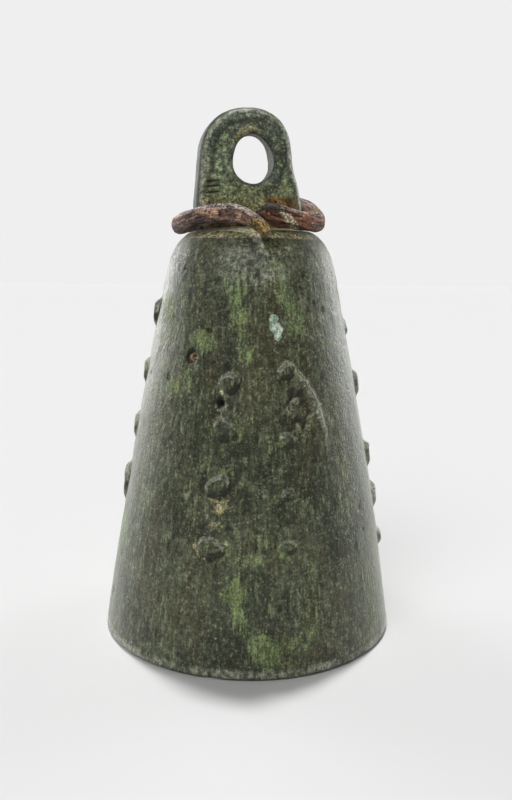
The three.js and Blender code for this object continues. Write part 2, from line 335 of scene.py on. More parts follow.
def sweep(centres, radius, sides, flat=0.0):
    """A bar along centres with rounded ends. Returns points, faces, outward directions, each point's
    share along it, and its place in the straightened bar, in mm.
    """
    tangent = unit(np.gradient(centres, axis=0))
    share = np.linspace(0, 1, len(centres))
    turns = np.linspace(0, math.pi / 2, CAP_STEPS, endpoint=False)[1:]
    parts = [(centres, radius, tangent, share)]
    for end, side in ((0, -1), (-1, 1)):
        middle = centres[end] + side * tangent[end] * (radius[end] * np.sin(turns))[:, None]
        constant = [np.repeat(values[end][None], len(turns), 0) for values in (tangent, share)]
        parts.append((middle, radius[end] * np.cos(turns), *constant))
    body, head, tail = parts
    centres, radius, tangent, share = (np.concatenate([h[::-1], b, t]) for h, b, t in zip(head, body, tail))
    turn = full_turn(sides)
    squash = 1 - flat * np.cos(2 * turn) ** 2
    points = np.repeat(centres[:, None, :], sides, axis=1)
    for axis, wave in zip(upright_frames(tangent), (np.cos(turn), np.sin(turn))):
        points = points + axis[:, None, :] * np.outer(radius, wave * squash)[:, :, None]
    rows = len(centres)
    faces = grid_faces(rows, sides)[:, ::-1]
    first = centres[0] - tangent[0] * radius[0] * 0.25
    last = centres[-1] + tangent[-1] * radius[-1] * 0.25
    points, faces = with_poles(points.reshape(-1, 3), faces, rows, sides, first, last)
    faces = faces[:(rows - 1) * sides] + [face[::-1] for face in faces[(rows - 1) * sides:]]
    outward = unit(points - np.vstack([np.repeat(centres, sides, axis=0), centres[:1], centres[-1:]]))
    length = lengths(centres)
    section = [np.outer(radius, wave).reshape(-1) for wave in (np.cos(turn), np.sin(turn))]
    straight = np.stack([np.repeat(length, sides), *section], axis=1)
    straight = np.vstack([straight, (0, 0, 0), (length[-1], 0, 0)])
    return points, faces, outward, np.concatenate([np.repeat(share, sides), [0, 1]]), straight


def around_z(turn, radius, z):
    """Points at a turn from -Y towards +X, a radius and a height."""
    axes = np.broadcast_arrays(radius * np.sin(turn), -radius * np.cos(turn), z)
    return np.stack(axes, axis=-1).reshape(-1, 3)


def lathe(profile, sides):
    """A solid of revolution about Z: profile is (radius, z) from the bottom pole to the top pole."""
    profile = np.array(profile, float)
    turn = full_turn(sides)
    ring = profile[1:-1]
    points = around_z(turn[None, :], ring[:, :1], ring[:, 1:])
    faces = grid_faces(len(ring), sides)
    normals = grid_normals(points, len(ring), sides)
    poles = [(0, 0, profile[0][1]), (0, 0, profile[-1][1])]
    points, faces = with_poles(points, faces, len(ring), sides, *poles)
    normals = np.vstack([normals, (0, 0, -1), (0, 0, 1)])
    return points, faces, normals


def bezier(a, b, c, count=16):
    t = np.linspace(0, 1, count)[:, None]
    return (1 - t) ** 2 * np.array(a) + 2 * t * (1 - t) * np.array(b) + t * t * np.array(c)


# ---- Materials ----


class Nodes:
    """Adds nodes to a shader tree. A setting in small letters is the node's own, others are inputs."""

    def __init__(self, tree):
        self.tree = tree
        self.tree.nodes.clear()

    def add(self, kind, **settings):
        node = self.tree.nodes.new("ShaderNode" + kind)
        for key, value in settings.items():
            if key[0].islower():
                setattr(node, key, value)
        for key, value in settings.items():
            if not key[0].islower():
                self.give(node.inputs[key.replace("_", " ")], value)
        return node

    def give(self, socket, value):
        if isinstance(value, bpy.types.NodeSocket):
            self.tree.links.new(value, socket)
        else:
            socket.default_value = value

    def of_two(self, kind, a, b, **settings):
        """A node's first output, with a and b in its first two inputs."""
        node = self.add(kind, **settings)
        self.give(node.inputs[0], a)
        self.give(node.inputs[1], b)
        return node.outputs[0]

    def math(self, operation, a, b):
        return self.of_two("Math", a, b, operation=operation)

    def step(self, value, low, high, least=0.0, most=1.0):
        """value's place between low and high, smoothed, as a number from least to most."""
        node = self.add("MapRange", interpolation_type="SMOOTHSTEP", Value=value, From_Min=low,
                        From_Max=high, To_Min=least, To_Max=most)
        return node.outputs[0]


class Shade(Nodes):
    """One procedural material. Its coordinates are in millimetres."""

    def __init__(self, name):
        self.material = bpy.data.materials.new(name)
        self.material.use_nodes = True
        super().__init__(self.material.node_tree)
        self.shader = self.add("BsdfPrincipled")
        self.add("OutputMaterial", Surface=self.shader.outputs[0])
        metres = self.add("TexCoord").outputs["Object"]
        self.place = self.add("VectorMath", operation="SCALE", Vector=metres,
                              Scale=1 / MM).outputs[0]
        self.colour = None

    def noise(self, size, detail, roughness, stretch=(1, 1, 1), offset=(0, 0, 0), place=None):
        """Noise from 0 to 1 whose largest features are about size mm across."""
        scale = [1 / (size * s) for s in stretch]
        place = self.add("Mapping", Vector=place or self.place, Scale=scale, Location=offset)
        node = self.add("TexNoise", Vector=place.outputs[0], Scale=1.0, Detail=detail,
                        Roughness=roughness)
        return node.outputs[0]

    def dots(self, size, offset, wobble, low, high, most=1.0):
        """Ragged dots about size mm apart: 0 beyond low of their spacing, and most within high of it."""
        place = self.add("Mapping", Vector=self.place, Scale=[1 / size] * 3,
                         Location=offset).outputs[0]
        jitter = self.add("TexNoise", Vector=place, Scale=3.0, Detail=2.0).outputs[1]
        jitter = self.add("VectorMath", operation="SCALE", Vector=jitter, Scale=wobble).outputs[0]
        place = self.of_two("VectorMath", jitter, place, operation="ADD")
        distance = self.add("TexVoronoi", Vector=place, Scale=1.0).outputs[0]
        return self.step(distance, low, high, 0, most)

    def total(self, *shares):
        """The sum of (value, weight) pairs."""
        result = self.math("MULTIPLY", *shares[0])
        for value, weight in shares[1:]:
            result = self.math("ADD", result, self.math("MULTIPLY", value, weight))
        return result

    def spread(self, low, high, *shares, least=0.0, most=1.0):
        """The sum of shares, smoothed into a cover from least at low to most at high."""
        return self.step(self.total(*shares), low, high, least, most)

    def mask(self, name):
        return self.add("Attribute", attribute_name=name).outputs["Fac"]

    def mix(self, cover, under, over, blend="MIX"):
        node = self.add("Mix", data_type="RGBA", blend_type=blend)
        self.give(node.inputs[0], cover)
        for socket, value in ((node.inputs[6], under), (node.inputs[7], over)):
            self.give(socket, (*value, 1.0) if isinstance(value, tuple) else value)
        return node.outputs[2]

    def two_tone(self, value, low, high, a, b):
        return self.mix(self.step(value, low, high), a, b)

    def coat(self, cover, paint, blend="MIX"):
        """Lays paint over the colour so far."""
        self.colour = self.mix(cover, self.colour, paint, blend)

    def finish(self, roughness, height, depth, specular):
        """height from 0 to 1 is worth depth mm of relief."""
        self.give(self.shader.inputs["Base Color"], self.colour)
        self.give(self.shader.inputs["Roughness"], roughness)
        self.shader.inputs["Specular IOR Level"].default_value = specular
        bump = self.add("Bump", Strength=1.0, Distance=depth * MM, Height=height)
        self.give(self.shader.inputs["Normal"], bump.outputs[0])
        return self.material


def tinted(colour, *factors):
    """colour with its channels multiplied by one factor, or by a factor each."""
    return tuple(channel * factor for channel, factor in zip(colour, factors * 3))


def bronze_material(name, dark, light, green, run=(1, 1, 7), bloom=0.0):
    """Cast bronze under an old olive patina, with verdigris, earth, rust stains and rubbed edges, and with
    painted highlights on relief that faces the light and painted shade in recesses and under relief.
    """
    s = Shade(name)
    broad = s.noise(15, 3, 0.6)
    medium = s.noise(3.0, 5, 0.7, offset=(3, 1, 7))
    grain = s.noise(0.9, 4, 0.7, offset=(9, 4, 2))
    fine = s.noise(0.42, 3, 0.65, offset=(9, 4, 2))
    streaks = s.noise(1.5, 5, 0.7, stretch=run, offset=(5, 5, 5))
    runs = s.noise(4.5, 3, 0.6, stretch=run, offset=(2, 7, 1))
    hair = s.noise(0.7, 4, 0.75, stretch=run, offset=(1, 3, 8))
    upright = s.noise(1.1, 5, 0.75, stretch=(1, 1, 2.4), offset=(8, 1, 4))
    broken = s.total((upright, 0.65), (fine, 0.35))

    # The patina: dark ground, brown upright runs, and paler olive showing through in flecks
    tone = s.spread(0.42, 0.58, (broad, 0.35), (medium, 0.2), (streaks, 0.3), (grain, 0.15))
    s.colour = s.mix(tone, dark, light)
    brown = s.spread(0.46, 0.6, (runs, 0.6), (broad, 0.4), most=0.6)
    s.coat(brown, (0.078, 0.066, 0.03))
    bright = s.spread(0.53, 0.66, (hair, 0.6), (medium, 0.4), most=0.7)
    s.coat(bright, tinted(light, 1.9))
    fleck = s.spread(0.53, 0.68, (fine, 0.6), (grain, 0.4), most=0.45)
    s.coat(fleck, tinted(light, 3.2))
    shade = s.spread(0.48, 0.38, (fine, 0.4), (grain, 0.3), (hair, 0.3), most=0.6)
    s.coat(shade, tinted(dark, 0.25))

    # Verdigris: placed patches that break up into upright specks, and a thin bloom everywhere
    patch = s.spread(1.4, 1.95, (s.mask("verdigris"), 0.55), (broken, 1.6), (hair, 1.0), most=0.95)
    dust = s.spread(0.53, 0.66, (medium, 0.35), (broken, 0.35), (hair, 0.3), most=0.4 + bloom)
    yellower = tinted(green, 1.35, 1.2, 1.05)
    leaf = s.two_tone(s.noise(2.6, 3, 0.6, offset=(2, 2, 9)), 0.42, 0.6, green, yellower)
    pale = s.spread(0.46, 0.62, (fine, 0.5), (hair, 0.5), most=0.55)
    leaf = s.mix(pale, leaf, tinted(green, 2.2, 2.05, 2.4))
    s.coat(s.math("MAXIMUM", patch, dust), leaf)

    # Earth and old oil in the hollows and on the crown, dark grime with painted shade, and rust
    earth = s.spread(0.84, 1.3, (s.mask("earth"), 0.8), (broken, 1.0), most=0.92)
    soil = s.two_tone(grain, 0.38, 0.56, (0.12, 0.095, 0.03), (0.37, 0.33, 0.14))
    soil = s.mix(s.spread(0.48, 0.6, (fine, 0.6), (medium, 0.4)), soil, (0.64, 0.6, 0.4))
    s.coat(earth, soil)
    # Painted shade: this near-black coat darkens hollows, the undersides of relief and the inside of the bell,
    # as well as real grime
    dirt_and_shade = s.spread(0.4, 1.0, (s.mask("grime_and_shade"), 1.0), (grain, 0.5), most=0.88)
    s.coat(dirt_and_shade, (0.016, 0.014, 0.008))
    rust = s.spread(0.6, 1.05, (s.mask("rust"), 1.0), (grain, 0.8), most=0.85)
    s.coat(rust, s.two_tone(medium, 0.42, 0.58, (0.1, 0.045, 0.018), (0.4, 0.19, 0.05)))

    # Rubbed high spots with painted highlights, a pale mineral crust, light specks and pin-prick pits
    # Painted highlight: this pale coat lightens relief that faces the light, lit boss rims and the front of the
    # shoulder, as well as real wear
    wear_and_highlight = s.spread(0.75, 1.25, (s.mask("wear_and_highlight"), 1.0), (broken, 0.9), most=0.8)
    s.coat(wear_and_highlight, s.two_tone(grain, 0.4, 0.6, (0.17, 0.185, 0.135), (0.42, 0.44, 0.33)))
    mint = s.spread(0.86, 1.06, (s.mask("mint"), 1.0), (broken, 0.8))
    s.coat(mint, s.two_tone(grain, 0.42, 0.58, (0.34, 0.5, 0.38), (0.66, 0.74, 0.62)))
    specks = s.dots(2.6, (4, 0, 6), 0.35, 0.1, 0.05, 0.85)
    specks = s.math("MULTIPLY", specks, s.step(s.noise(5, 2, 0.5, offset=(7, 7, 7)), 0.48, 0.58))
    s.coat(specks, (0.42, 0.44, 0.34))
    grit = s.dots(1.0, (2, 5, 1), 0.6, 0.2, 0.08, 0.55)
    grit = s.math("MULTIPLY", grit, s.step(s.noise(3.2, 3, 0.6, offset=(1, 7, 4)), 0.48, 0.6))
    s.coat(grit, (0.4, 0.43, 0.31))
    pits = s.dots(5.5, (1, 9, 3), 0.3, 0.07, 0.03)
    s.coat(s.math("MULTIPLY", pits, 0.8), (0.01, 0.009, 0.006))

    uneven = s.spread(0.4, 0.62, (fine, 0.3), (grain, 0.3), (hair, 0.4), least=0.6, most=1.6)
    s.coat(1.0, uneven, "MULTIPLY")
    crust = s.math("MAXIMUM", patch, s.math("MAXIMUM", earth, mint))
    roughness = s.total((s.step(grain, 0.35, 0.65, 0.32, 0.5), 1.0), (crust, 0.3), (wear_and_highlight, -0.1),
                        (s.mask("grime_and_shade"), 0.35))
    height = s.total((fine, 0.3), (grain, 0.45), (medium, 0.3), (streaks, 0.15), (crust, 0.25), (pits, -0.8))
    s.shader.inputs["Sheen Weight"].default_value = 0.55
    s.shader.inputs["Sheen Roughness"].default_value = 0.35
    s.shader.inputs["Sheen Tint"].default_value = (0.8, 0.84, 0.78, 1)
    return s.finish(roughness, height, 0.32, 0.4)


def iron_material(name, dark, red, orange):
    """Old forged iron: rust in long flakes over dark metal, with earth in it, and painted highlights and
    painted shade where its masks place them.
    """
    s = Shade(name)
    along = s.add("CombineXYZ", X=s.mask("bar_x"), Y=s.mask("bar_y"), Z=s.mask("bar_z")).outputs[0]
    broad = s.noise(7, 3, 0.65)
    medium = s.noise(1.7, 5, 0.75, offset=(3, 8, 1))
    fine = s.noise(0.45, 4, 0.7, offset=(6, 2, 5))
    fibres = s.noise(0.75, 4, 0.7, stretch=(6, 1, 1), offset=(2, 0, 4), place=along)

    def placed(mask, weight, texture, share, low, high, most=1.0):
        return s.spread(low, high, (s.mask(mask), weight), (texture, share), most=most)

    s.colour = s.mix(s.spread(0.42, 0.58, (broad, 0.45), (medium, 0.3), (fibres, 0.25)), dark, red)
    s.coat(s.spread(0.5, 0.62, (medium, 0.5), (fibres, 0.5), most=0.9), orange)
    red_zone = placed("red", 0.8, medium, 0.8, 0.6, 0.95, 0.85)
    crimson = s.two_tone(fibres, 0.4, 0.6, (0.045, 0.015, 0.008), (0.19, 0.068, 0.028))
    s.coat(red_zone, crimson)
    # Painted highlight as well as wear: this pale coat also lightens the ring's upper faces
    wear_and_highlight = placed("wear_and_highlight", 1.0, fibres, 0.9, 0.7, 1.1, 0.85)
    s.coat(wear_and_highlight, s.two_tone(fine, 0.4, 0.6, (0.17, 0.125, 0.11), (0.52, 0.43, 0.38)))
    cracks = s.spread(0.46, 0.36, (fibres, 0.7), (fine, 0.3))
    s.coat(s.math("MULTIPLY", cracks, 0.9), (0.012, 0.006, 0.004))
    glints = s.dots(0.9, (2, 2, 8), 0.5, 0.24, 0.1, 0.55)
    s.coat(glints, tinted(orange, 1.6))
    scale = s.dots(1.3, (5, 1, 3), 0.6, 0.3, 0.14, 0.85)
    s.coat(scale, (0.02, 0.01, 0.007))
    earth = placed("earth", 1.0, medium, 0.7, 0.65, 0.95)
    s.coat(earth, s.two_tone(fine, 0.38, 0.62, (0.13, 0.08, 0.035), (0.62, 0.53, 0.36)))
    ochre = placed("ochre", 1.0, medium, 0.7, 0.65, 1.0, 0.85)
    s.coat(ochre, s.two_tone(fine, 0.4, 0.6, (0.09, 0.05, 0.012), (0.36, 0.25, 0.07)))
    # Painted shade as well as dark stains: this near-black coat also darkens the ring's undersides and the
    # faces turned in towards the crown
    shade_and_dark = placed("dark", 1.0, medium, 0.5, 0.6, 1.0, 0.93)
    s.coat(shade_and_dark, (0.01, 0.006, 0.004))
    uneven = s.spread(0.4, 0.62, (fine, 0.5), (fibres, 0.5), least=0.5, most=2.1)
    s.coat(1.0, uneven, "MULTIPLY")
    roughness = s.total((s.step(fine, 0.3, 0.7, 0.55, 0.85), 1.0), (wear_and_highlight, -0.25))
    height = s.total((fibres, 0.6), (medium, 0.6), (fine, 0.45), (cracks, -0.5), (scale, -0.4))
    return s.finish(roughness, height, 0.65, 0.45)


def floor_material():
    s = Shade("paper")
    grain = s.noise(3, 3, 0.6)
    s.colour = s.mix(grain, (FLOOR_WHITE * 0.995,) * 3, (FLOOR_WHITE * 1.005,) * 3)
    return s.finish(0.9, grain, 0.01, 0.0)


# ---- Shell ----


def outer_radius(z):
    return MOUTH_RADIUS - TAPER * z - TAPER_CURVE * z * z


def inner_radius(z):
    return outer_radius(z) - WALL - LIP_EXTRA * np.maximum(0, 1 - z / LIP_HEIGHT) ** 2


def shell_profile():
    """The closed section, as (radius, z) rows from the roof down the inside, round the lip, and up."""
    low = np.linspace(0, 1, 24)
    inside_z = INNER_SPRINGING_Z * (1 - low)
    side = np.stack([inner_radius(inside_z), inside_z], axis=1)
    roof = bezier(ROOF[0], (inner_radius(78.0), 78.0), side[0])
    inside = np.vstack([(0.15, ROOF[1][1]), roof, side[1:-1], (inner_radius(0.6), 0.7)])
    inside = resampled(inside, INSIDE_STEP)
    lip_in, lip_out = inner_radius(0.0), outer_radius(0.0)
    under = bezier(inside[-1], (lip_in + 0.1, 0), (lip_in + 0.8, 0), 5)[1:]
    flat = resampled([(lip_in + 0.8, 0), (lip_out - 1.1, 0)], FLAT_LIP_STEP)[1:]
    round_lip = bezier((lip_out - 1.1, 0), (lip_out, 0), (outer_radius(1.0), 1.0), 7)[1:]
    outside_z = np.linspace(1.0, SHOULDER_Z, 60)[1:]
    cone = np.stack([outer_radius(outside_z), outside_z], axis=1)
    shoulder = bezier(cone[-1], SHOULDER_BEND, CROWN_EDGE, 24)[1:]
    dome = bezier(CROWN_EDGE, (CROWN_EDGE[0] / 2, CROWN_TOP_Z), (0.15, CROWN_TOP_Z), 12)[1:]
    outside = resampled(np.vstack([round_lip[-1:], cone, shoulder, dome]), OUTSIDE_STEP)
    rows = np.vstack([inside, under, flat, round_lip, outside[1:]])
    return rows, len(inside) + len(under) + len(flat)


def on_shell(angle, z, radius, place):
    """Distances along the surface, sideways and upwards, from a (angle, height) place on the shell."""
    turn = (angle - place[0] + 180) % 360 - 180
    return radius * np.radians(turn), (z - place[1]) * WALL_SLANT


def ridge_distance(angle, z, radius):
    """Distance to the ridge's line, positive outside its curve, and the share of its length passed."""
    nearest = np.full(len(angle), 1e3)
    share = np.zeros(len(angle))
    count = len(RIDGE) - 1
    for index in range(count):
        dx, dz = on_shell(angle, z, radius, RIDGE[index])
        mid_radius = outer_radius(RIDGE[index][1])
        ex = mid_radius * math.radians(RIDGE[index + 1][0] - RIDGE[index][0])
        ez = (RIDGE[index + 1][1] - RIDGE[index][1]) * WALL_SLANT
        t = np.clip((dx * ex + dz * ez) / (ex * ex + ez * ez), 0, 1)
        distance = np.hypot(dx - t * ex, dz - t * ez) * np.where(ex * dz - ez * dx > 0, 1, -1)
        closer = np.abs(distance) < np.abs(nearest)
        nearest = np.where(closer, distance, nearest)
        share = np.where(closer, (index + t) / count, share)
    return nearest, share


# Verdigris patches: angle, height, half width, half height, strength
VERDIGRIS = [
    (-19.5, 71.5, 1.9, 4.2, 1.0), (-18.0, 67.0, 1.7, 3.4, 0.95), (-14.2, 61.9, 1.3, 3.4, 0.75),
    (3.4, 76.8, 2.0, 1.3, 1.0), (5.6, 73.4, 1.1, 2.4, 0.8), (9.2, 71.2, 1.1, 3.0, 0.8),
    (14.5, 68.9, 2.1, 2.4, 0.85), (16.4, 65.2, 1.9, 2.4, 0.85), (-38, 62.8, 2.5, 2.5, 1.0),
    (-52.7, 54.2, 4.4, 2.4, 0.75), (-48, 57.6, 3.0, 2.0, 0.55), (-16.1, 16.4, 2.1, 3.0, 1.0),
    (-14.6, 12.6, 1.4, 2.6, 0.9), (-12.8, 9.6, 1.0, 1.8, 0.7), (-7.6, 6.6, 3.0, 2.4, 0.85),
    (-3.0, 5.6, 3.6, 2.8, 1.0), (1.6, 6.8, 2.6, 2.0, 0.75), (13.7, 19.6, 1.8, 4.6, 0.4),
    (13.2, 12.4, 1.6, 3.6, 0.5), (10.8, 7.2, 1.8, 1.8, 0.65), (45, 12, 2.6, 4.4, 0.6),
    (20, 9.0, 3.6, 1.6, 0.5), (4.5, 2.6, 4.6, 1.2, 0.6), (47, 6, 2.6, 3.0, 0.5),
    (35.3, 36, 2.4, 5.0, 0.5), (33, 29, 2.0, 4.0, 0.4),
    (-11, 22.5, 3.8, 1.5, 0.7), (-6, 26, 2.2, 1.8, 0.5), (3.2, 24, 2.2, 2.2, 0.7),
    (-1, 44, 1.2, 3.0, 0.4), (-62, 30, 2.5, 5.0, 0.4), (-66, 66, 2.4, 5.0, 0.55),
    (-57, 71, 2.4, 3.0, 0.5), (-32, 40, 1.6, 2.2, 0.4), (-36, 29, 1.2, 2.0, 0.5),
    (110, 64, 3.5, 4.0, 0.9), (92, 40, 2.5, 5.0, 0.7), (128, 20, 4.0, 4.0, 0.8),
    (150, 58, 2.4, 6.0, 0.8), (178, 34, 4.0, 3.4, 0.9), (206, 66, 3.0, 4.0, 0.9),
    (214, 14, 4.0, 3.5, 0.8), (240, 44, 2.5, 6.0, 0.8), (276, 22, 3.0, 5.0, 0.75),
    (290, 68, 2.5, 3.4, 0.8), (160, 8, 5.0, 3.0, 0.8), (70, 72, 2.5, 3.0, 0.7),
]
# Earth and oily deposit: angle, height, half width, half height, strength
EARTH = [
    (-23.5, 32.6, 1.9, 1.6, 0.8), (-24.6, 31.2, 1.5, 0.6, 1.0), (-25.4, 28.8, 1.7, 1.2, 0.8),
    (-28, 26.6, 1.2, 1.0, 0.6), (12, 49.5, 3.2, 4.2, 0.5), (263, 28.5, 3.0, 3.0, 0.9), (172, 50, 3.0, 4.0, 0.6),
    (104, 31, 3.0, 3.0, 0.7), (205, 27, 3.5, 3.0, 0.7), (232, 58, 2.5, 4.0, 0.6),
    (5, 80, 5.0, 1.6, 0.6), (-24, 80.6, 5.0, 1.2, 0.5),
]
# Pale mineral crust, in the same terms
MINT = [
    (1.6, 67.0, 0.9, 0.9, 1.0), (2.6, 65.4, 1.2, 1.3, 1.0), (3.2, 63.8, 0.7, 0.8, 0.9),
    (198, 60.5, 1.1, 1.4, 0.8),
]


def patches(table, angle, z, radius, points, seed):
    """The strongest patch at each point, from 0 outside to 1 in the middle, with uneven outlines."""
    wobble = fractal(points, 2.0, 3, seed) * 0.6
    total = np.zeros(len(angle))
    for place_angle, place_z, half_width, half_height, strength in table:
        dx, dz = on_shell(angle, z, radius, (place_angle, place_z))
        reach = np.hypot(dx / half_width, dz / half_height) + wobble
        total = np.maximum(total, strength * ramp(1.7, 0.4, reach))
    return total


def boss_fields(angle, z, radius, lumps):
    """The bosses' relief in mm, their dished surrounds, and the masks of their domes, their upper rims for a
    painted highlight, their lower middles for painted shade, and the crust round them.
    """
    fields = {name: np.zeros(len(z)) for name in ("relief", "moat", "dome", "lit_edge", "core", "crust")}
    for column, (column_angle, lean, members) in enumerate(BOSS_COLUMNS):
        for member, (height, wide, tall, rise) in enumerate(members):
            place = (column_angle + lean * (BOSS_LEVEL_Z - height), height)
            dx, dz = on_shell(angle, z, radius, place)
            nearby = np.hypot(dx, dz) < 9
            dx, dz, lump = dx[nearby], dz[nearby], lumps[nearby]
            turn = np.arctan2(dz, dx)
            phase = 5.1 * column + 2.3 * member
            skew = 0.3 * math.sin(phase)
            uneven = 1 + 0.05 * np.sin(3 * turn + phase) + 0.03 * np.sin(5 * turn + 2 * phase) + 0.2 * lump
            reach = np.hypot((dx + skew * dz) / (BOSS_RADIUS * wide), dz / (BOSS_RADIUS * tall)) / uneven
            dome = ramp(1.08, 0.62, reach) * (1 - 0.22 * np.clip(reach, 0, 1) ** 2)
            tilt = 1 + 0.25 * np.clip(dz / BOSS_RADIUS, -1, 1)
            new = {
                "relief": dome * BOSS_HEIGHT * rise * tilt * (1 + 0.3 * lump),
                "dome": dome,
                "moat": hump(reach, 1.15, 0.18),
                # Painted light: the upper rim mask takes a painted highlight, and the lower-middle mask after
                # it takes painted shade
                "lit_edge": hump(reach, 0.85, 0.17) * ramp(-0.1, 0.8, np.sin(turn + 0.4)),
                "core": ramp(0.95, 0.5, reach) * ramp(0.9, -0.3, dz / (BOSS_RADIUS * tall)),
                "crust": hump(reach, 1.18, 0.24) * (0.65 + 0.35 * np.sin(2 * turn + phase)),
            }
            for name, values in new.items():
                fields[name][nearby] = np.maximum(fields[name][nearby], values)
    return fields


def shell_relief(angle, z, radius, points, outside):
    """Relief of the outer surface in mm, and the masks that follow from it."""
    lumps = fractal(points, 1.7, 3, 31)
    relief = 0.22 * fractal(points, 26, 2, 3) + 0.1 * fractal(points, 7, 2, 5)
    relief += 0.05 * fractal(points, 1.6, 3, 7)
    relief += 0.045 * fractal(points, 1.1, 2, 9, stretch=(5, 5, 1)) * ramp(55, 72, z)
    relief += 0.03 * fractal(points, 1.2, 2, 13, stretch=(1, 1, 8))
    boss = boss_fields(angle, z, radius, lumps)
    relief += boss["relief"] - 0.1 * boss["moat"]
    distance, share = ridge_distance(angle, z, radius)
    taper = ramp(1.02, 0.75, share)
    ridge = hump(distance, 0, RIDGE_WIDTH) * (1 + 0.4 * lumps) * (0.3 + 0.7 * taper)
    relief += RIDGE_HEIGHT * ridge
    ridge_edge = hump(distance, 0.6, 0.3) * (0.35 + 0.65 * taper)
    dx_scar, dz_scar = on_shell(angle, z, radius, SCAR)
    scar = ramp(1.15, 0.6, np.hypot(dx_scar / SCAR_SIZE[0], dz_scar / SCAR_SIZE[1]) + 0.2 * lumps)
    relief += scar * (0.9 * fractal(points, 1.3, 3, 17) - SCAR_DEPTH)
    dx, dz = on_shell(angle, z, radius, PIN_HOLE)
    reach = np.hypot(dx / 0.6 + 0.15 * dz, dz / 0.85) * (1 + 0.2 * lumps)
    hole = np.exp(-reach ** 4)
    hole_lip = hump(reach, 1.5, 0.35) * ramp(0.3, -0.6, dz)
    relief += 0.12 * hole_lip - PIN_HOLE_DEPTH * hole
    pins = np.zeros(len(z))
    for pin_angle in CORE_PINS.values():
        dx, dz = on_shell(angle, z, radius, (pin_angle, CORE_PIN_Z))
        pins = np.maximum(pins, ramp(1.3, 0.75, np.hypot(dx / 1.1, dz / 1.4) + 0.4 * lumps))
    relief -= CORE_PIN_HOLLOW * pins
    rng = np.random.default_rng(12)
    pits = np.zeros(len(z))
    for _ in range(PIT_COUNT):
        place = (rng.uniform(0, 360), rng.uniform(2, 80))
        size = rng.uniform(0.25, 0.7)
        dx, dz = on_shell(angle, z, radius, place)
        depth = rng.uniform(0.2, 1)
        pits = np.maximum(pits, np.exp(-(dx * dx + dz * dz) / (size * size)) * depth)
    relief -= PIT_DEPTH * pits
    dx, dz = on_shell(angle, z, radius, LIP_NICK)
    relief -= LIP_NICK_DEPTH * hump(dx, 0, 1.3) * hump(dz, 0, 0.8)
    relief += ramp(82.4, 83.6, z) * (0.1 + 0.25 * fractal(points, 2.2, 3, 23))
    masks = {
        "hole": np.maximum(hole, 0.6 * pits),
        "hole_lip": hole_lip,
        "scar": scar,
        "scar_edge": ramp(0.08, 0.35, scar) * ramp(0.85, 0.5, scar) * ramp(-0.5, 1.5, dx_scar - dz_scar),
        "ridge": ridge,
        "ridge_edge": ridge_edge,
        "pins": pins,
        **{key: value for key, value in boss.items() if key not in ("relief", "moat")},
    }
    return relief * outside, {key: value * outside for key, value in masks.items()}


